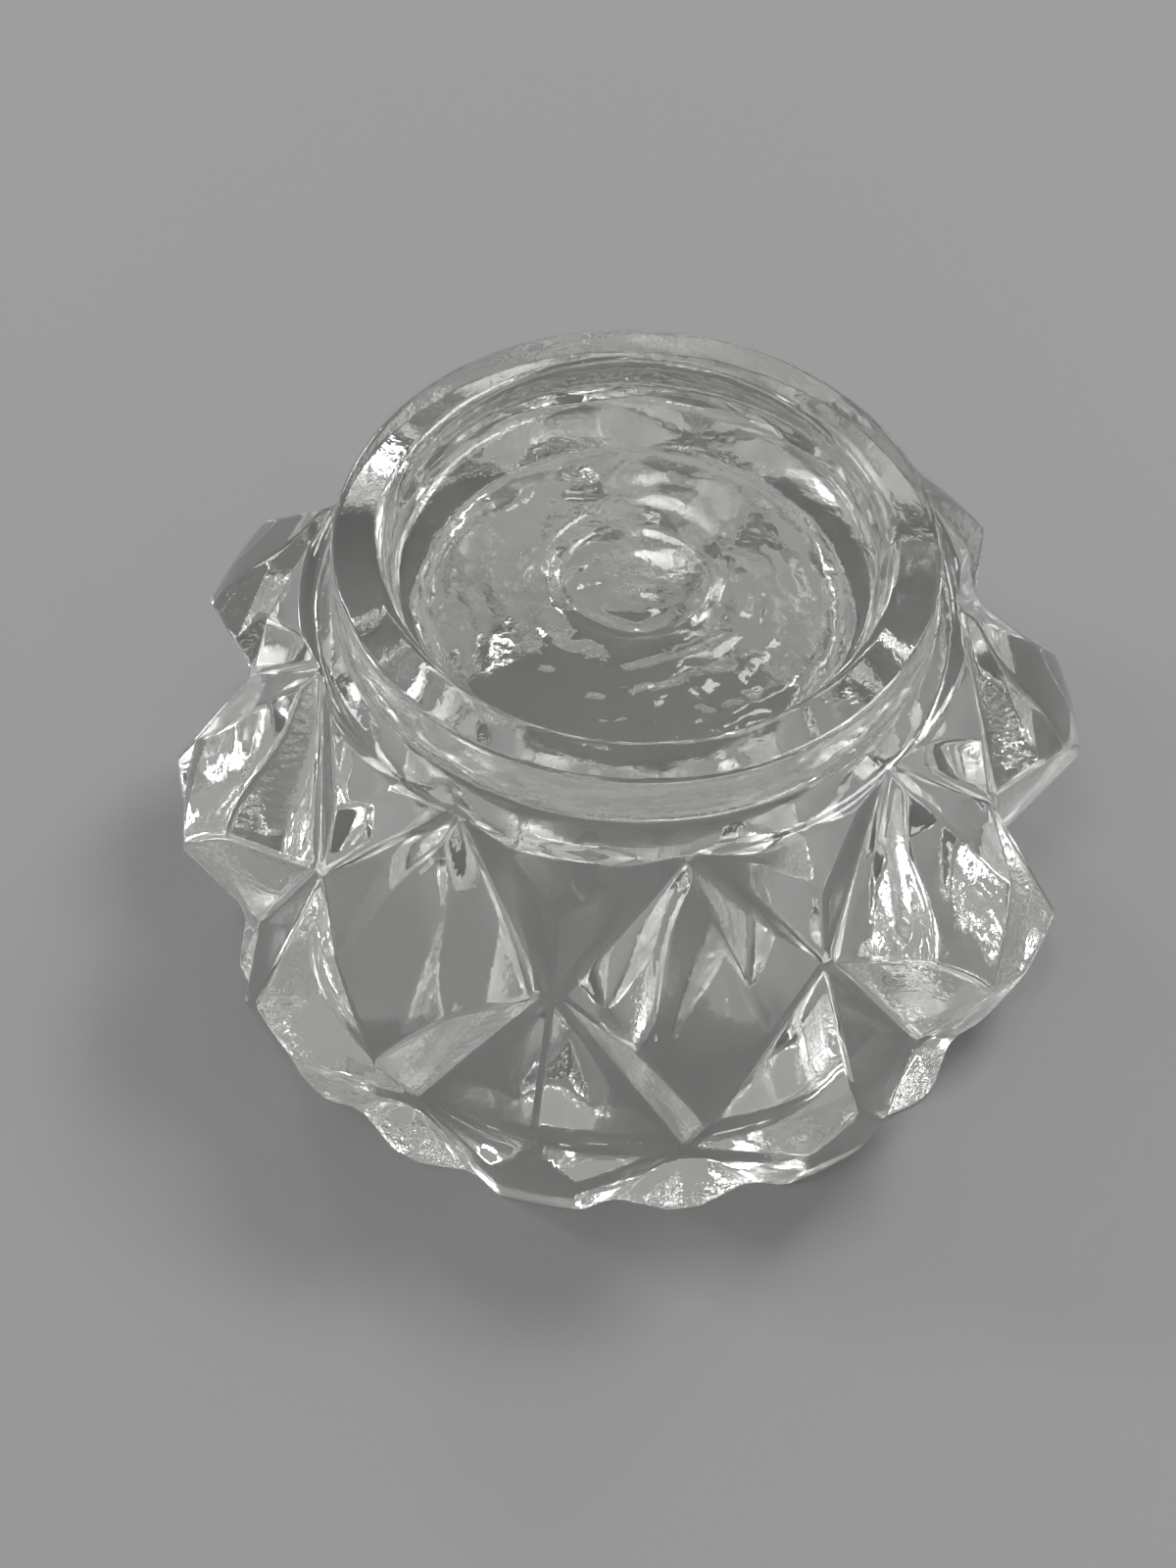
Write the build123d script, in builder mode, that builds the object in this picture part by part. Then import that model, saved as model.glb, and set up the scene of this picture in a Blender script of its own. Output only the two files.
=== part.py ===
"""Pressed-glass open salt cellar, standing on its rim with the foot ring on top, as photographed.

Millimetres, +Z up, the table at z = 0, the axis of the cellar on Z.
The outside is a barrel of revolution with two crossing sets of V-shaped grooves pressed into it.
The grooves leave a row of pointed bosses, a row of half diamonds at the neck and one at the rim.
"""
import os
from math import cos, radians, sin

from build123d import *

# Lattice of the pressed pattern
boss_count = 9
boss_turn_deg = 11.6        # the first boss stands this far round from the front, towards +X

# Heights above the table
neck_z = 32.3               # the grooves run out here, under the foot ring
groove_cross_z = 22.75      # upper crossings, halfway between two bosses
groove_low_z = 5.6          # lower crossings, under each boss
boss_apex_z = 22.6          # the four walls of a boss would meet here
rim_apex_z = 9.6            # and those of a diamond in the rim row here
foot_height = 5.6           # from the neck up

# Distances from the axis
neck_radius = 22.2          # bottom of the grooves at the neck
barrel_top_radius = 22.9    # the barrel between them
cross_radius = 26.8
low_radius = 28.2
boss_apex_radius = 35.8
neck_ridge_radius = 24.7    # ridge of a neck half diamond, carried up to the neck
rim_apex_radius = 34.9
rim_radius = 29.9
rim_ridge_radius = 30.4     # between two groove exits the block stands outside the barrel
groove_exit_radius = 28.8   # the grooves leave through the rim here
groove_exit_deg = 10.3      # and this far round from the boss above
barrel_mid = [(25.5, 28.7), (30.6, 23.2), (33.1, 15.9), (33.05, 12.6), (32.0, 6.4)]

# Foot ring on a sloping shoulder, and the shallow recess inside it with a sunk spot in the middle
foot_root = 1.0             # the ring is carried this far into the body
shoulder_radius = 21.9      # the shoulder starts here, at the neck
shoulder_rise = 1.1         # and climbs this far to the ring
foot_waist_radius = 20.5
foot_outer_radius = 20.6
foot_inner_radius = 16.9
recess_radius = 16.4
recess_depth = 3.0
pad_edge_radius = 6.2
pad_edge_depth = 3.1
pad_radius = 5.0
pad_depth = 3.9

# Bowl, which opens at the table; its wall tapers and its bottom is flat
bowl_depth = 30.1
bowl_floor_radius = 14.8
mouth_radius = 21.6

# Fire-polished edges
foot_edge_round = 0.5
lip_round = 0.9
recess_corner_round = 0.9
bowl_corner_round = 2.0
mouth_round = 1.2

pitch_deg = 360 / boss_count
foot_top_z = neck_z + foot_height
foot_root_z = neck_z - foot_root
shoulder_z = neck_z + shoulder_rise
recess_z = foot_top_z - recess_depth
pad_edge_z = foot_top_z - pad_edge_depth
pad_z = foot_top_z - pad_depth


def at(radius, height, step, turn_deg=0.0):
    """Point of the lattice: step counts bosses round the axis, turn_deg adds degrees to it."""
    angle = radians(boss_turn_deg + step * pitch_deg + turn_deg)
    return (radius * sin(angle), -radius * cos(angle), height)


def panel(*corners):
    """Flat face with these corners."""
    return Face(Wire.make_polygon([Vector(*c) for c in corners], close=True))


def plane_height_cut(a, b, c, step, height):
    """Radius at which the plane a, b, c meets the half-plane of this step at this height."""
    a, b, c = Vector(*a), Vector(*b), Vector(*c)
    normal = (b - a).cross(c - a)
    out = Vector(*at(1.0, 0.0, step))
    return (normal.dot(a) - normal.Z * height) / normal.dot(out)


def round_edge(builder, radius, height):
    """Circular edge of this radius at this height."""
    circles = builder.edges().filter_by(GeomType.CIRCLE)
    return circles.filter_by(lambda e: abs(e.radius - radius) < 0.01 and abs(e.center().Z - height) < 0.01)


# Cut pattern: a closed many-sided block whose walls are the walls of the grooves
walls = []
top_ring = []
rim_ring = []
for k in range(boss_count):
    neck, next_neck = at(neck_radius, neck_z, k), at(neck_radius, neck_z, k + 1)
    cross = at(cross_radius, groove_cross_z, k + 0.5)
    last_cross = at(cross_radius, groove_cross_z, k - 0.5)
    low, next_low = at(low_radius, groove_low_z, k), at(low_radius, groove_low_z, k + 1)
    boss_apex = at(boss_apex_radius, boss_apex_z, k)
    for side in (cross, last_cross):
        walls.append(panel(neck, side, boss_apex))
        walls.append(panel(low, side, boss_apex))
    neck_ridge = at(neck_ridge_radius, neck_z, k + 0.5)
    walls.append(panel(neck, cross, neck_ridge))
    walls.append(panel(next_neck, cross, neck_ridge))
    rim_apex = at(rim_apex_radius, rim_apex_z, k + 0.5)
    left = at(groove_exit_radius, 0.0, k, groove_exit_deg)
    right = at(groove_exit_radius, 0.0, k + 1, -groove_exit_deg)
    rim_front = at(plane_height_cut(low, left, rim_apex, k + 0.5, 0.0), 0.0, k + 0.5)
    for side, corner in ((low, left), (next_low, right)):
        walls.append(panel(cross, side, rim_apex))
        walls.append(panel(side, corner, rim_front, rim_apex))
    rim_ridge = at(rim_ridge_radius, 0.0, k)
    last_right = at(groove_exit_radius, 0.0, k, -groove_exit_deg)
    walls.append(panel(low, left, rim_ridge))
    walls.append(panel(low, last_right, rim_ridge))
    top_ring += [neck, neck_ridge]
    rim_ring += [rim_ridge, left, rim_front, right]
walls.append(panel(*top_ring))
walls.append(panel(*rim_ring))

with BuildPart() as glass_body:
    # Barrel, with everything outside the cut pattern taken off
    with BuildSketch(Plane.XZ):
        with BuildLine():
            Spline((barrel_top_radius, neck_z), *barrel_mid, (rim_radius, 0))
            Polyline((rim_radius, 0), (0, 0), (0, neck_z), (barrel_top_radius, neck_z))
        make_face()
    revolve(axis=Axis.Z)
    add(Solid(Shell(walls)), mode=Mode.INTERSECT)
    # Shoulder and foot ring
    with BuildSketch(Plane.XZ):
        with BuildLine():
            Polyline((0, foot_root_z), (shoulder_radius, foot_root_z), (shoulder_radius, neck_z),
                     (foot_waist_radius, shoulder_z), (foot_outer_radius, foot_top_z), (0, foot_top_z), close=True)
        make_face()
    revolve(axis=Axis.Z)
    # Recess
    with BuildSketch(Plane.XZ):
        with BuildLine():
            Polyline((0, foot_top_z), (foot_inner_radius, foot_top_z), (recess_radius, recess_z),
                     (pad_edge_radius, pad_edge_z), (pad_radius, pad_z), (0, pad_z), close=True)
        make_face()
    revolve(axis=Axis.Z, mode=Mode.SUBTRACT)
    # Bowl
    with BuildSketch(Plane.XZ):
        with BuildLine():
            Polyline((0, 0), (mouth_radius, 0), (bowl_floor_radius, bowl_depth), (0, bowl_depth), close=True)
        make_face()
    revolve(axis=Axis.Z, mode=Mode.SUBTRACT)
    # Rounded edges
    for radius, height, amount in ((foot_outer_radius, foot_top_z, foot_edge_round),
                                   (foot_inner_radius, foot_top_z, lip_round),
                                   (recess_radius, recess_z, recess_corner_round),
                                   (bowl_floor_radius, bowl_depth, bowl_corner_round),
                                   (mouth_radius, 0, mouth_round)):
        fillet(round_edge(glass_body, radius, height), radius=amount)
glass_body.part.label = "glass_body"

os.makedirs("parts", exist_ok=True)
export_step(glass_body.part, "parts/glass_body.step")
box = glass_body.part.bounding_box()
print(f"glass body {box.size.X:.1f} x {box.size.Y:.1f} x {box.size.Z:.1f} mm,"
      f" {glass_body.part.volume / 1000:.1f} cm3, {len(glass_body.part.solids())} solid")
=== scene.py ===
"""Open salt cellar of pressed glass, standing upside down on its rim, on a plain studio floor.

The lathe turns the smooth body; a Geometry Nodes tree then presses the diamond pattern into its barrel.
"""
import math

import bpy
import numpy as np
from bpy.props import FloatProperty, FloatVectorProperty, IntProperty, PointerProperty
from mathutils import Matrix, Vector


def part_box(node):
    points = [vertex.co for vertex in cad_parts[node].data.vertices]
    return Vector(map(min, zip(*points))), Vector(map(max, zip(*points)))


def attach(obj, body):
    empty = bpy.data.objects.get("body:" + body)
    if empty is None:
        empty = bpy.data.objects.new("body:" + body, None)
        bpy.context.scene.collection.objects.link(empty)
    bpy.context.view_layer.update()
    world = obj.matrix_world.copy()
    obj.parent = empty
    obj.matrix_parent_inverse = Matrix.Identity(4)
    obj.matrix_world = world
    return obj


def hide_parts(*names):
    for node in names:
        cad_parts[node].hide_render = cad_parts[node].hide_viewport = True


bl_info = {
    "name": "Pressed Glass Salt Cellar",
    "version": (1, 0, 0),
    "blender": (4, 5, 0),
    "location": "View3D > Sidebar > Salt Cellar",
    "description": "Builds an open salt cellar of pressed glass on a studio floor",
    "category": "Add Mesh",
}

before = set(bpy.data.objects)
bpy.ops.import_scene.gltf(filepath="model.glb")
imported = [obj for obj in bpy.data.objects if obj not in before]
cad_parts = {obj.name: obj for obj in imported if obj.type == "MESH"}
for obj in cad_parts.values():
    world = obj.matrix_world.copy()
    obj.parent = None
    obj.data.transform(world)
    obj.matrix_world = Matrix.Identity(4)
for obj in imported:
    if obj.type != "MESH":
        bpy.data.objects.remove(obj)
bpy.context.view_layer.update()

MM = 0.001
FOOT_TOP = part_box("glass_body")[1][2]


def length(name, millimetres, words):
    """A length that a user may change, given in millimetres."""
    return FloatProperty(name=name, description=words, default=millimetres * MM, min=0.0, unit="LENGTH",
                         precision=5)


def srgb(text):
    """Linear colour for an sRGB hex value."""
    parts = [int(text[i:i + 2], 16) / 255 for i in (1, 3, 5)]
    return tuple(c / 12.92 if c <= 0.04045 else ((c + 0.055) / 1.055) ** 2.4 for c in parts) + (1.0,)


def add(tree, kind, inputs=None, **settings):
    """Adds a node, sets its properties, and gives each named input a value or a link."""
    node = tree.nodes.new(kind)
    for name, value in settings.items():
        setattr(node, name, value)
    for key, value in (inputs or {}).items():
        if isinstance(value, bpy.types.NodeSocket):
            tree.links.new(value, node.inputs[key])
        else:
            node.inputs[key].default_value = value
    return node


def calc(tree, operation, *values):
    """Result of a Math node on these values."""
    return add(tree, "ShaderNodeMath", dict(enumerate(values)), operation=operation).outputs[0]


class CellarSizes(bpy.types.PropertyGroup):
    """Sizes of the glass body. Heights are above the table, radii are from the axis."""
    boss_count: IntProperty(name="Bosses", description="Pointed bosses round the barrel", default=9, min=3)
    boss_turn: FloatProperty(name="Boss turn", description="First boss, counted from the front towards +X",
                             default=math.radians(11.6), subtype="ANGLE")
    neck_height: length("Neck height", 32.3, "Where the grooves run out under the foot ring")
    neck_radius: length("Neck radius", 22.2, "Bottom of the grooves at the neck")
    barrel_top_radius: length("Barrel top radius", 22.9, "Barrel between the grooves at the neck")
    crossing_height: length("Crossing height", 22.75, "Upper crossings of the grooves")
    crossing_radius: length("Crossing radius", 26.8, "Upper crossings of the grooves")
    low_height: length("Low crossing height", 5.6, "Lower crossings, under each boss")
    low_radius: length("Low crossing radius", 28.2, "Lower crossings, under each boss")
    boss_height: length("Boss height", 22.6, "Where the four walls of a boss would meet")
    boss_radius: length("Boss radius", 35.8, "Where the four walls of a boss would meet")
    neck_ridge_radius: length("Neck ridge radius", 24.7, "Ridge of a half diamond, at the neck")
    rim_point_height: length("Rim diamond height", 9.6, "Where the walls of a rim diamond would meet")
    rim_point_radius: length("Rim diamond radius", 34.9, "Where the walls of a rim diamond would meet")
    rim_ridge_radius: length("Rim ridge radius", 30.4, "Ridge under a boss, at the rim")
    groove_exit_radius: length("Groove exit radius", 28.8, "Where a groove leaves through the rim")
    groove_exit_turn: FloatProperty(name="Groove exit turn", description="Counted from the boss above",
                                    default=math.radians(10.3), subtype="ANGLE")
    rim_radius: length("Rim radius", 29.9, "Barrel at the rim")
    ridge_round: length("Ridge rounding", 0.3, "Fire-polished rounding along the ridges of the bosses")
    groove_strip: length("Groove strip", 0.45, "Rise of the walls at which the flat bottom of a groove ends")
    groove_round: length("Groove rounding", 0.15, "Rounding along both sides of that flat bottom")
    table_round: length("Table rounding", 0.25, "Rounding along the outline of the boss tables")
    ripple: length("Ripple", 0.045, "Height of the soft waves left on the glass by the mould")
    shoulder_radius: length("Shoulder radius", 21.9, "Where the slope up to the foot ring starts, at the neck")
    shoulder_rise: length("Shoulder rise", 1.1, "Height of that slope")
    foot_top: length("Foot top", FOOT_TOP / MM, "Face of the foot ring")
    foot_outer_radius: length("Foot radius", 20.6, "Outside of the foot ring at its face")
    foot_waist_radius: length("Foot waist", 20.5, "Outside of the foot ring at the top of the slope")
    foot_inner_radius: length("Foot inner radius", 16.9, "Inside of the foot ring at its face")
    recess_radius: length("Recess radius", 16.4, "Corner between the recess wall and its floor")
    recess_depth: length("Recess depth", 3.0, "From the foot's face down to that corner")
    pad_edge_radius: length("Pad edge radius", 6.2, "Edge of the sunk spot in the middle of the recess")
    pad_edge_depth: length("Pad edge depth", 3.1, "From the foot's face down to that edge")
    pad_radius: length("Pad radius", 5.0, "Flat of the sunk spot")
    pad_depth: length("Pad depth", 3.9, "From the foot's face down to the sunk spot")
    bowl_depth: length("Bowl depth", 30.1, "From the table up to the bottom of the bowl")
    bowl_floor_radius: length("Bowl floor radius", 14.8, "Corner between the bottom and the wall of the bowl")
    bowl_corner_round: length("Bowl corner rounding", 2.0, "Rounded corner at the bottom of the bowl")
    mouth_radius: length("Mouth radius", 21.6, "Bowl at the table")
    mouth_round: length("Mouth rounding", 1.2, "Rounded inner edge of the rim")
    rim_round: length("Rim rounding", 0.5, "Rounded outer edge of the rim")
    foot_round: length("Foot rounding", 0.5, "Rounded outer edge of the foot's face")
    lip_round: length("Lip rounding", 0.9, "Rounded inner edge of the foot's face")
    corner_round: length("Corner rounding", 0.9, "Rounded corner of the recess")
    half_pitch_columns: IntProperty(name="Columns", description="Mesh columns from a boss to a crossing",
                                    default=30, min=6)


class GlassFinish(bpy.types.PropertyGroup):
    """Finish of the glass."""
    tint: FloatVectorProperty(name="Tint", description="Colour of the glass body", subtype="COLOR", size=4,
                              default=srgb("#F8F8F6"), min=0.0, max=1.0)
    ior: FloatProperty(name="IOR", description="Refractive index of soda-lime glass", default=1.52, min=1.0)
    flow: length("Flow line", 1.2, "Width of the faint lines along which the glass flowed up the mould")
    grit: length("Grit", 0.7, "Width of the fine grit on walls that face down")
    mottle: length("Mottle", 2.5, "Width of the uneven patches on the floor of the recess")
    ring: length("Ring", 2.8, "Width of the rings that the plunger left on the bottom of the bowl")
    smear: length("Smear", 6.0, "Width of the faint smears on the surface")


class StageLook(bpy.types.PropertyGroup):
    """Floor, lights and camera."""
    floor_colour: FloatVectorProperty(name="Floor", description="Colour of the floor", subtype="COLOR", size=4,
                                      default=srgb("#A9AAAA"), min=0.0, max=1.0)
    key_power: FloatProperty(name="Key light", description="Soft light overhead", default=3.7, unit="POWER")
    side_power: FloatProperty(name="Side lights", description="Small soft lights at the sides", default=1.4,
                              unit="POWER")
    room_light: FloatProperty(name="Room", description="Even light from all round", default=0.36, min=0.0)


# Radius and height of the barrel between the neck and the rim, in millimetres
BARREL = [(25.5, 28.7), (30.6, 23.2), (33.1, 15.9), (33.05, 12.6), (32.0, 6.4)]


def spline(points, count=400):
    """Smooth line through points, with no bend at its ends, as many samples."""
    points = np.array(points, float)
    spans = np.linalg.norm(np.diff(points, axis=0), axis=1)
    knots = np.concatenate([[0], np.cumsum(spans)])
    last = len(points) - 1
    matrix = np.zeros((last + 1, last + 1))
    right = np.zeros((last + 1, 2))
    for i in range(1, last):
        before, after = spans[i - 1], spans[i]
        matrix[i, i - 1:i + 2] = after, 2 * (before + after), before
        right[i] = 3 * (after / before * (points[i] - points[i - 1])
                        + before / after * (points[i + 1] - points[i]))
    matrix[0, 0], matrix[0, 1] = 2, 1
    matrix[last, last], matrix[last, last - 1] = 2, 1
    right[0] = 3 * (points[1] - points[0]) / spans[0]
    right[last] = 3 * (points[last] - points[last - 1]) / spans[-1]
    slopes = np.linalg.solve(matrix, right)
    at = np.linspace(0, knots[-1], count)
    i = np.clip(np.searchsorted(knots, at, side="right") - 1, 0, last - 1)
    h = spans[i][:, None]
    t = (at - knots[i])[:, None] / h
    return ((2 * t ** 3 - 3 * t ** 2 + 1) * points[i] + (t ** 3 - 2 * t ** 2 + t) * h * slopes[i]
            + (3 * t ** 2 - 2 * t ** 3) * points[i + 1] + (t ** 3 - t ** 2) * h * slopes[i + 1])


def rounded(corners, longest):
    """Line through corners (radius, height, rounding), with rounded corners and no step over longest."""
    points = [np.array(c[:2], float) for c in corners]
    line = [points[0]]
    for i in range(1, len(points)):
        turn = [points[i]]
        if i < len(points) - 1 and corners[i][2] > 0:
            back = (points[i - 1] - points[i]) / np.linalg.norm(points[i - 1] - points[i])
            on = (points[i + 1] - points[i]) / np.linalg.norm(points[i + 1] - points[i])
            first, last = points[i] + back * corners[i][2], points[i] + on * corners[i][2]
            turn = [(1 - t) ** 2 * first + 2 * t * (1 - t) * points[i] + t * t * last
                    for t in np.linspace(0, 1, 5)]
        start = line[-1]
        parts = max(1, math.ceil(np.linalg.norm(turn[0] - start) / longest))
        line += [start + (turn[0] - start) * k / parts for k in range(1, parts)]
        line += turn
    return line


# A row of the lathe holds its radius and height, then these
ROW_ATTRIBUTES = ("pattern_share", "mould_haze", "plunger_rings", "barrel_radius")


def cellar_rows(s):
    """Rows of the lathe, from the bottom of the bowl over the rim and up to the middle of the foot."""
    step = 2.0 * MM
    bowl = rounded([(0.3 * s.bowl_floor_radius, s.bowl_depth, 0),
                    (s.bowl_floor_radius, s.bowl_depth, s.bowl_corner_round),
                    (s.mouth_radius, 0, s.mouth_round),
                    (s.mouth_radius + 2 * s.mouth_round, 0, 0)], 2 * step)
    rows = [(r, z, 0, 0.02, float(z > 0.95 * s.bowl_depth), 0) for r, z in bowl]
    face_in, face_out = rows[-1][0], s.rim_radius - s.rim_round
    rows += [(face_in + (face_out - face_in) * w, 0, w, 0.1, 0, s.rim_radius) for w in (0.25, 0.5, 0.75, 0.9)]
    for a in np.linspace(0, math.pi / 2, 5):
        r, z = s.rim_radius - s.rim_round * (1 - math.sin(a)), s.rim_round * (1 - math.cos(a))
        rows.append((r, z, 1, 0.1, 0, s.rim_radius))
    barrel = spline([(s.barrel_top_radius, s.neck_height)] + [(r * MM, z * MM) for r, z in BARREL]
                    + [(s.rim_radius, 0)])
    heights, radii = barrel[::-1, 1], barrel[::-1, 0]
    for low, high, count in ((s.rim_round, s.low_height, 18), (s.low_height, s.crossing_height, 52),
                             (s.crossing_height, s.neck_height, 34)):
        for z in np.linspace(low, high, count + 1)[1:]:
            r = float(np.interp(z, heights, radii))
            rows.append((r, float(z), 1, 0.05, 0, r))
    foot = rounded([(rows[-1][0], s.neck_height, 0),
                    (s.shoulder_radius, s.neck_height, 0.4 * MM),
                    (s.foot_waist_radius, s.neck_height + s.shoulder_rise, 0.6 * MM),
                    (s.foot_outer_radius, s.foot_top, s.foot_round),
                    (s.foot_inner_radius, s.foot_top, s.lip_round),
                    (s.recess_radius, s.foot_top - s.recess_depth, s.corner_round),
                    (s.pad_edge_radius, s.foot_top - s.pad_edge_depth, 0.4 * MM),
                    (s.pad_radius, s.foot_top - s.pad_depth, 0.4 * MM),
                    (0.3 * s.pad_radius, s.foot_top - s.pad_depth, 0)], step)
    rows += [(r, z, 0, 0.45 if r < s.foot_inner_radius else 0.3, 0, 0) for r, z in foot[1:]]
    return np.array(rows)


def lathe(name, s):
    """Closed body of revolution with the attributes that the pattern and the finish read."""
    rows = cellar_rows(s)
    columns = 2 * s.boss_count * s.half_pitch_columns
    turns = s.boss_turn + np.arange(columns) * 2 * math.pi / columns
    x = rows[:, 0, None] * np.sin(turns)
    y = -rows[:, 0, None] * np.cos(turns)
    z = np.repeat(rows[:, 1, None], columns, axis=1)
    points = np.stack([x, y, z], axis=2).reshape(-1, 3)
    bowl_pole, pad_pole = len(points), len(points) + 1
    points = np.vstack([points, [(0, 0, rows[0, 1])], [(0, 0, rows[-1, 1])]])
    faces = []
    for i in range(len(rows) - 1):
        a, b = i * columns, (i + 1) * columns
        faces += [(a + j, a + (j + 1) % columns, b + (j + 1) % columns, b + j) for j in range(columns)]
    end = (len(rows) - 1) * columns
    faces += [(bowl_pole, (j + 1) % columns, j) for j in range(columns)]
    faces += [(pad_pole, end + j, end + (j + 1) % columns) for j in range(columns)]
    mesh = bpy.data.meshes.new(name)
    mesh.from_pydata(points.tolist(), [], faces)
    for column, attribute in enumerate(ROW_ATTRIBUTES, 2):
        values = np.concatenate([np.repeat(rows[:, column], columns), rows[[0, -1], column]]).astype(np.float32)
        mesh.attributes.new(attribute, "FLOAT", "POINT").data.foreach_set("value", values)
    mesh.shade_smooth()
    obj = bpy.data.objects.new(name, mesh)
    bpy.context.scene.collection.objects.link(obj)
    return obj


def lattice_point_group():
    """Point of the groove lattice, from its radius, height and turn from the middle of a boss."""
    tree = bpy.data.node_groups.new("Lattice point", "GeometryNodeTree")
    for name in ("Radius", "Height", "Turn"):
        tree.interface.new_socket(name, in_out="INPUT", socket_type="NodeSocketFloat")
    tree.interface.new_socket("Point", in_out="OUTPUT", socket_type="NodeSocketVector")
    given = add(tree, "NodeGroupInput").outputs
    x = calc(tree, "MULTIPLY", given["Radius"], calc(tree, "COSINE", given["Turn"]))
    y = calc(tree, "MULTIPLY", given["Radius"], calc(tree, "SINE", given["Turn"]))
    point = add(tree, "ShaderNodeCombineXYZ", {0: x, 1: y, 2: given["Height"]}).outputs[0]
    add(tree, "NodeGroupOutput", {"Point": point})
    return tree


def wall_radius_group():
    """Distance from the axis to a flat groove wall through three points, at a turn and a height."""
    tree = bpy.data.node_groups.new("Wall radius", "GeometryNodeTree")
    for name, kind in (("Turn", "Float"), ("Height", "Float"), ("A", "Vector"), ("B", "Vector"), ("C", "Vector")):
        tree.interface.new_socket(name, in_out="INPUT", socket_type="NodeSocket" + kind)
    tree.interface.new_socket("Radius", in_out="OUTPUT", socket_type="NodeSocketFloat")
    given = add(tree, "NodeGroupInput").outputs
    one = add(tree, "ShaderNodeVectorMath", {0: given["B"], 1: given["A"]}, operation="SUBTRACT").outputs[0]
    two = add(tree, "ShaderNodeVectorMath", {0: given["C"], 1: given["A"]}, operation="SUBTRACT").outputs[0]
    cross = add(tree, "ShaderNodeVectorMath", {0: one, 1: two}, operation="CROSS_PRODUCT").outputs[0]
    normal = add(tree, "ShaderNodeVectorMath", {0: cross}, operation="NORMALIZE").outputs[0]
    reach = add(tree, "ShaderNodeVectorMath", {0: normal, 1: given["A"]}, operation="DOT_PRODUCT")
    offset = reach.outputs["Value"]
    part = add(tree, "ShaderNodeSeparateXYZ", {0: normal}).outputs
    above = calc(tree, "SUBTRACT", offset, calc(tree, "MULTIPLY", part["Z"], given["Height"]))
    along = calc(tree, "MULTIPLY", part["X"], calc(tree, "COSINE", given["Turn"]))
    slant = calc(tree, "MULTIPLY_ADD", part["Y"], calc(tree, "SINE", given["Turn"]), along)
    add(tree, "NodeGroupOutput", {"Radius": calc(tree, "DIVIDE", above, slant)})
    return tree


PATTERN_SIZES = {
    "Bosses": "boss_count", "Boss turn": "boss_turn", "Neck height": "neck_height", "Neck radius": "neck_radius",
    "Crossing height": "crossing_height", "Crossing radius": "crossing_radius", "Low height": "low_height",
    "Low radius": "low_radius", "Boss height": "boss_height", "Boss radius": "boss_radius",
    "Neck ridge radius": "neck_ridge_radius", "Rim point height": "rim_point_height",
    "Rim point radius": "rim_point_radius", "Rim ridge radius": "rim_ridge_radius",
    "Groove exit radius": "groove_exit_radius", "Groove exit turn": "groove_exit_turn",
    "Ridge round": "ridge_round", "Groove strip": "groove_strip",
    "Groove round": "groove_round", "Table round": "table_round", "Ripple": "ripple",
}


def pattern_radius(tree, given, position):
    """Distance from the axis to the pressed pattern, in the direction and at the height of each point."""
    # Turn of each point from the middle of its boss, folded to one side, and from the next boss back
    place = add(tree, "ShaderNodeSeparateXYZ", {0: position}).outputs
    height = place["Z"]
    angle = calc(tree, "ARCTAN2", place["X"], calc(tree, "MULTIPLY", place["Y"], -1.0))
    pitch = calc(tree, "DIVIDE", 2 * math.pi, given["Bosses"])
    half = calc(tree, "MULTIPLY", pitch, 0.5)
    steps = calc(tree, "DIVIDE", calc(tree, "SUBTRACT", angle, given["Boss turn"]), pitch)
    rest = calc(tree, "SUBTRACT", steps, calc(tree, "ROUND", steps))
    turn = calc(tree, "MULTIPLY", calc(tree, "ABSOLUTE", rest), pitch)
    across = calc(tree, "MULTIPLY", turn, -1.0)
    beyond = calc(tree, "SUBTRACT", pitch, turn)

    # Lattice points of one half pitch
    point_group, wall_group = lattice_point_group(), wall_radius_group()
    points = {}
    for name, radius, level, where in (
            ("neck", "Neck radius", given["Neck height"], 0.0),
            ("crossing", "Crossing radius", given["Crossing height"], half),
            ("low", "Low radius", given["Low height"], 0.0),
            ("boss", "Boss radius", given["Boss height"], 0.0),
            ("neck ridge", "Neck ridge radius", given["Neck height"], half),
            ("rim point", "Rim point radius", given["Rim point height"], half),
            ("rim ridge", "Rim ridge radius", 0.0, 0.0),
            ("exit", "Groove exit radius", 0.0, given["Groove exit turn"])):
        points[name] = add(tree, "GeometryNodeGroup", {"Radius": given[radius], "Height": level, "Turn": where},
                           node_tree=point_group).outputs["Point"]

    # Each pyramid is the least of its walls
    pyramids = []
    for walls, other in (((("neck", "crossing", "boss"), ("low", "crossing", "boss")), across),
                         ((("neck", "crossing", "neck ridge"),), beyond),
                         ((("crossing", "low", "rim point"), ("low", "exit", "rim point")), beyond),
                         ((("low", "exit", "rim ridge"),), across)):
        least = None
        for a, b, c in walls:
            for where in (turn, other):
                radius = add(tree, "GeometryNodeGroup", {"Turn": where, "Height": height, "A": points[a],
                                                         "B": points[b], "C": points[c]},
                             node_tree=wall_group).outputs["Radius"]
                if least is not None:
                    radius = calc(tree, "SMOOTH_MIN", least, radius, given["Ridge round"])
                least = radius
        pyramids.append(least)
    # A neck half diamond ends at the crossing below it
    under = calc(tree, "MAXIMUM", calc(tree, "SUBTRACT", given["Crossing height"], height), 0.0)
    pyramids[1] = calc(tree, "SUBTRACT", pyramids[1], under)

    # The pattern is the greatest of the pyramids, with a narrow flat strip in the bottom of each groove
    pattern = pyramids[0]
    for pyramid in pyramids[1:]:
        sharp = calc(tree, "MAXIMUM", pattern, pyramid)
        raised = calc(tree, "ADD", calc(tree, "ADD", pattern, pyramid), given["Groove strip"])
        strip = calc(tree, "MULTIPLY", raised, 0.5)
        pattern = calc(tree, "SMOOTH_MAX", sharp, strip, given["Groove round"])
    return pattern


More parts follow.
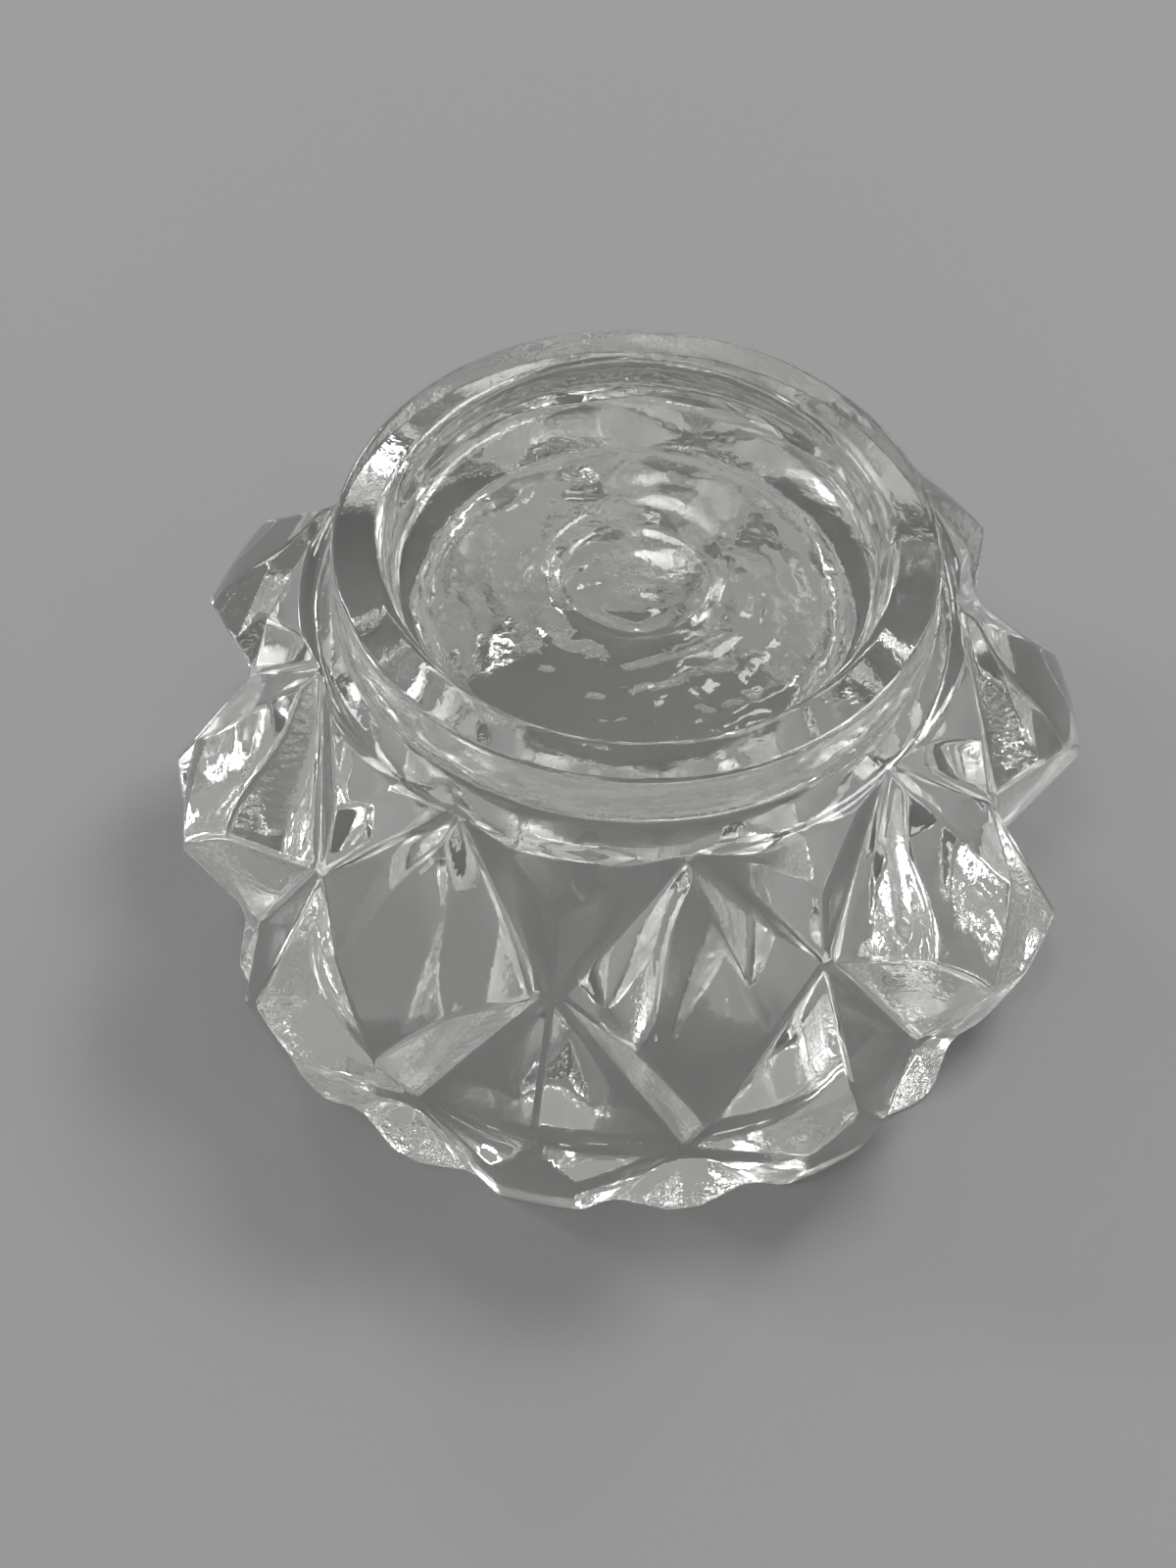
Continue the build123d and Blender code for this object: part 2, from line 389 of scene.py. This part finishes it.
def pattern_tree(material):
    """Presses the diamond pattern into the barrel rows of the lathe, and ripples the glass."""
    tree = bpy.data.node_groups.new("Pressed diamond pattern", "GeometryNodeTree")
    tree.interface.new_socket("Geometry", in_out="INPUT", socket_type="NodeSocketGeometry")
    for name in PATTERN_SIZES:
        kind = "NodeSocketInt" if name == "Bosses" else "NodeSocketFloat"
        tree.interface.new_socket(name, in_out="INPUT", socket_type=kind)
    tree.interface.new_socket("Geometry", in_out="OUTPUT", socket_type="NodeSocketGeometry")
    given = add(tree, "NodeGroupInput").outputs
    position = add(tree, "GeometryNodeInputPosition").outputs[0]
    normal = add(tree, "GeometryNodeInputNormal").outputs[0]
    pattern = pattern_radius(tree, given, position)

    # The barrel cuts the bosses off flat
    barrel = add(tree, "GeometryNodeInputNamedAttribute", {"Name": "barrel_radius"}, data_type="FLOAT").outputs[0]
    share = add(tree, "GeometryNodeInputNamedAttribute", {"Name": "pattern_share"}, data_type="FLOAT").outputs[0]
    pressed = calc(tree, "SMOOTH_MIN", pattern, barrel, given["Table round"])
    inward = calc(tree, "MULTIPLY", calc(tree, "SUBTRACT", pressed, barrel), share)
    flat = add(tree, "ShaderNodeVectorMath", {0: position, 1: (1.0, 1.0, 0.0)}, operation="MULTIPLY").outputs[0]
    outward = add(tree, "ShaderNodeVectorMath", {0: flat}, operation="NORMALIZE").outputs[0]
    move = add(tree, "ShaderNodeVectorMath", {0: outward, "Scale": inward}, operation="SCALE").outputs[0]
    body = add(tree, "GeometryNodeSetPosition", {"Geometry": given["Geometry"], "Offset": move}).outputs[0]

    # Soft waves, always into the glass, and none on the face that stands on the table
    noise = add(tree, "ShaderNodeTexNoise", {"Vector": position, "Scale": 1 / (7 * MM), "Detail": 1.0}).outputs[0]
    depth = calc(tree, "MULTIPLY", calc(tree, "MULTIPLY", noise, given["Ripple"]), -1.0)
    wave = add(tree, "ShaderNodeVectorMath", {0: normal, "Scale": depth}, operation="SCALE").outputs[0]
    height = add(tree, "ShaderNodeSeparateXYZ", {0: position}).outputs["Z"]
    above = add(tree, "FunctionNodeCompare", {0: height, 1: 0.3 * MM}, operation="GREATER_THAN").outputs[0]
    body = add(tree, "GeometryNodeSetPosition", {"Geometry": body, "Selection": above, "Offset": wave}).outputs[0]

    # Walls that face down keep the grit of the mould
    facing = add(tree, "ShaderNodeSeparateXYZ", {0: normal}).outputs["Z"]
    grit = add(tree, "ShaderNodeMapRange", {"Value": facing, "From Min": -0.1, "From Max": -0.4}).outputs[0]
    grit = calc(tree, "MULTIPLY", grit, share)
    body = add(tree, "GeometryNodeStoreNamedAttribute", {"Geometry": body, "Name": "mould_grit", "Value": grit},
               data_type="FLOAT", domain="POINT").outputs[0]
    body = add(tree, "GeometryNodeRealizeInstances", {"Geometry": body}).outputs[0]
    body = add(tree, "GeometryNodeSetMaterial", {"Geometry": body, "Material": material}).outputs[0]
    add(tree, "NodeGroupOutput", {"Geometry": body})
    return tree


def pressed_glass(finish):
    """Colourless soda-lime glass, pressed and fire-polished: clear and bright, with faint flow lines."""
    material = bpy.data.materials.new("soda_lime_glass_pressed_fire_polished")
    material.use_nodes = True
    tree = material.node_tree
    tree.nodes.clear()
    place = add(tree, "ShaderNodeTexCoord").outputs["Object"]
    share = {name: add(tree, "ShaderNodeAttribute", attribute_name=name).outputs["Fac"]
             for name in ("mould_haze", "mould_grit", "plunger_rings")}

    def noise(width, detail, where=place):
        return add(tree, "ShaderNodeTexNoise", {"Vector": where, "Scale": 1 / width, "Detail": detail}).outputs[0]

    # Flow lines run up the walls and make reflections streaky
    drawn = add(tree, "ShaderNodeVectorMath", {0: place, 1: (1.0, 1.0, 0.25)}, operation="MULTIPLY").outputs[0]
    flow = noise(finish.flow, 4.0, drawn)
    bump = add(tree, "ShaderNodeBump", {"Height": flow, "Strength": 0.5, "Distance": 0.02 * MM}).outputs[0]
    # The bottom of the bowl shows broken rings; a ring of the wave texture is pi / 10 wide at scale 1
    smears = noise(finish.smear, 4.0)
    rings = add(tree, "ShaderNodeTexWave", {"Vector": place, "Scale": math.pi / 10 / finish.ring,
                                            "Distortion": 9.0, "Detail": 3.0, "Detail Scale": 1.0},
                wave_type="RINGS", rings_direction="Z").outputs["Fac"]
    patchy = add(tree, "ShaderNodeMapRange", {"Value": smears, "From Min": 0.34, "From Max": 0.52,
                                              "To Max": share["plunger_rings"]}).outputs[0]
    # Grit sparkles on the lower walls, and mottling blurs the floor of the recess
    for height, strength, distance in ((noise(finish.grit, 3.0), share["mould_grit"], 0.10),
                                       (noise(finish.mottle, 4.0), share["mould_haze"], 0.30),
                                       (rings, patchy, 0.14)):
        bump = add(tree, "ShaderNodeBump", {"Height": height, "Strength": strength, "Distance": distance * MM,
                                            "Normal": bump}).outputs[0]
    # Smears leave the foot slightly dull here and there
    haze = add(tree, "ShaderNodeMapRange", {"Value": smears, "From Min": 0.35, "From Max": 0.7, "To Min": 0.08,
                                            "To Max": 0.30}).outputs[0]
    glass = add(tree, "ShaderNodeBsdfPrincipled", {
        "Base Color": finish.tint, "Roughness": calc(tree, "MULTIPLY", haze, share["mould_haze"]),
        "IOR": finish.ior, "Transmission Weight": 1.0, "Normal": bump}).outputs[0]
    add(tree, "ShaderNodeOutputMaterial", {"Surface": glass})
    return material


class SALT_OT_glass_body(bpy.types.Operator):
    """Turn the glass body on the lathe and press the diamond pattern into it"""
    bl_idname = "salt.glass_body"
    bl_label = "Glass body"

    def execute(self, context):
        sizes = context.scene.salt_sizes
        material = pressed_glass(context.scene.salt_glass)
        body = lathe("pressed_glass_cellar", sizes)
        tree = pattern_tree(material)
        press = body.modifiers.new("Pressed diamond pattern", "NODES")
        press.node_group = tree
        for item in tree.interface.items_tree:
            if item.in_out == "INPUT" and item.name in PATTERN_SIZES:
                press[item.identifier] = getattr(sizes, PATTERN_SIZES[item.name])
        body.data.materials.append(material)
        graph = context.evaluated_depsgraph_get()
        mesh = bpy.data.meshes.new_from_object(body.evaluated_get(graph), depsgraph=graph)
        body.modifiers.remove(press)
        body.data = mesh
        mesh.name = body.name
        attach(body, "root")
        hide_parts("glass_body")
        return {"FINISHED"}


def painted_board(colour):
    """Board with rolled matte paint: one even tone without glare."""
    material = bpy.data.materials.new("matte_painted_board_rolled")
    material.use_nodes = True
    shader = material.node_tree.nodes["Principled BSDF"]
    shader.inputs["Base Color"].default_value = colour
    shader.inputs["Roughness"].default_value = 0.6
    return material


# Place of each lamp and the width of its square face, in metres
LAMPS = {
    "overhead_softbox": ((0.44, 0.42, 1.08), 0.34),
    "left_lamp": ((-0.90, 0.20, 0.60), 0.20),
    "rear_right_lamp": ((0.80, 1.00, 0.60), 0.20),
    "rear_left_lamp": ((-0.60, 1.00, 0.55), 0.20),
    "front_lamp": ((-0.20, -0.45, 1.10), 0.20),
}


class SALT_OT_stage(bpy.types.Operator):
    """Lay the floor, hang the lights and set the camera"""
    bl_idname = "salt.stage"
    bl_label = "Stage"

    def execute(self, context):
        scene, look = context.scene, context.scene.salt_stage
        reach = 30.0
        mesh = bpy.data.meshes.new("studio_floor")
        mesh.from_pydata([(-reach, -reach, 0), (reach, -reach, 0), (reach, reach, 0), (-reach, reach, 0)], [],
                         [(0, 1, 2, 3)])
        mesh.transform(Matrix.Translation((0, 0, -0.02 * MM)))
        mesh.materials.append(painted_board(look.floor_colour))
        floor = bpy.data.objects.new("studio_floor", mesh)
        scene.collection.objects.link(floor)

        middle = Vector((0.0, 0.0, 20 * MM))
        for name, (spot, width) in LAMPS.items():
            lamp = bpy.data.lights.new(name, "AREA")
            lamp.size = width
            lamp.energy = look.key_power if name == "overhead_softbox" else look.side_power
            holder = bpy.data.objects.new(name, lamp)
            holder.location = spot
            holder.rotation_euler = (middle - Vector(spot)).to_track_quat("-Z", "Y").to_euler()
            scene.collection.objects.link(holder)

        room = bpy.data.worlds.new("even_room_light")
        room.use_nodes = True
        room.node_tree.nodes["Background"].inputs["Color"].default_value = srgb("#FFFEFC")
        room.node_tree.nodes["Background"].inputs["Strength"].default_value = look.room_light
        scene.world = room

        lens = bpy.data.cameras.new("camera")
        lens.sensor_fit = "VERTICAL"
        lens.sensor_height = 24.0
        lens.lens = 45.0
        lens.clip_start = 0.01
        camera = bpy.data.objects.new("camera", lens)
        camera.location = (0.0, -133.83 * MM, 183.44 * MM)
        camera.rotation_euler = [math.radians(a) for a in (37.807, -1.388, 2.923)]
        scene.collection.objects.link(camera)
        scene.camera = camera

        # Many bounces, because a view through the cellar meets the glass over and over
        scene.cycles.max_bounces = 28
        scene.cycles.transmission_bounces = 28
        scene.cycles.glossy_bounces = 16
        scene.cycles.transparent_max_bounces = 16
        scene.cycles.caustics_reflective = False
        scene.cycles.caustics_refractive = True
        scene.cycles.sample_clamp_indirect = 10.0
        scene.view_settings.view_transform = "Standard"
        return {"FINISHED"}


class SALT_PT_panel(bpy.types.Panel):
    """Pieces of the salt cellar and its stage"""
    bl_idname = "SALT_PT_panel"
    bl_label = "Salt Cellar"
    bl_space_type = "VIEW_3D"
    bl_region_type = "UI"
    bl_category = "Salt Cellar"

    def draw(self, context):
        for owner, operator in ((context.scene.salt_sizes, SALT_OT_glass_body),
                                (context.scene.salt_glass, None), (context.scene.salt_stage, SALT_OT_stage)):
            column = self.layout.column()
            for name in owner.__annotations__:
                column.prop(owner, name)
            if operator:
                column.operator(operator.bl_idname)


CLASSES = (CellarSizes, GlassFinish, StageLook, SALT_OT_glass_body, SALT_OT_stage, SALT_PT_panel)


def register():
    for cls in CLASSES:
        bpy.utils.register_class(cls)
    bpy.types.Scene.salt_sizes = PointerProperty(type=CellarSizes)
    bpy.types.Scene.salt_glass = PointerProperty(type=GlassFinish)
    bpy.types.Scene.salt_stage = PointerProperty(type=StageLook)


def unregister():
    for name in ("salt_sizes", "salt_glass", "salt_stage"):
        delattr(bpy.types.Scene, name)
    for cls in reversed(CLASSES):
        bpy.utils.unregister_class(cls)


def main():
    register()
    bpy.ops.salt.glass_body()
    bpy.ops.salt.stage()


if __name__ == "__main__":
    main()
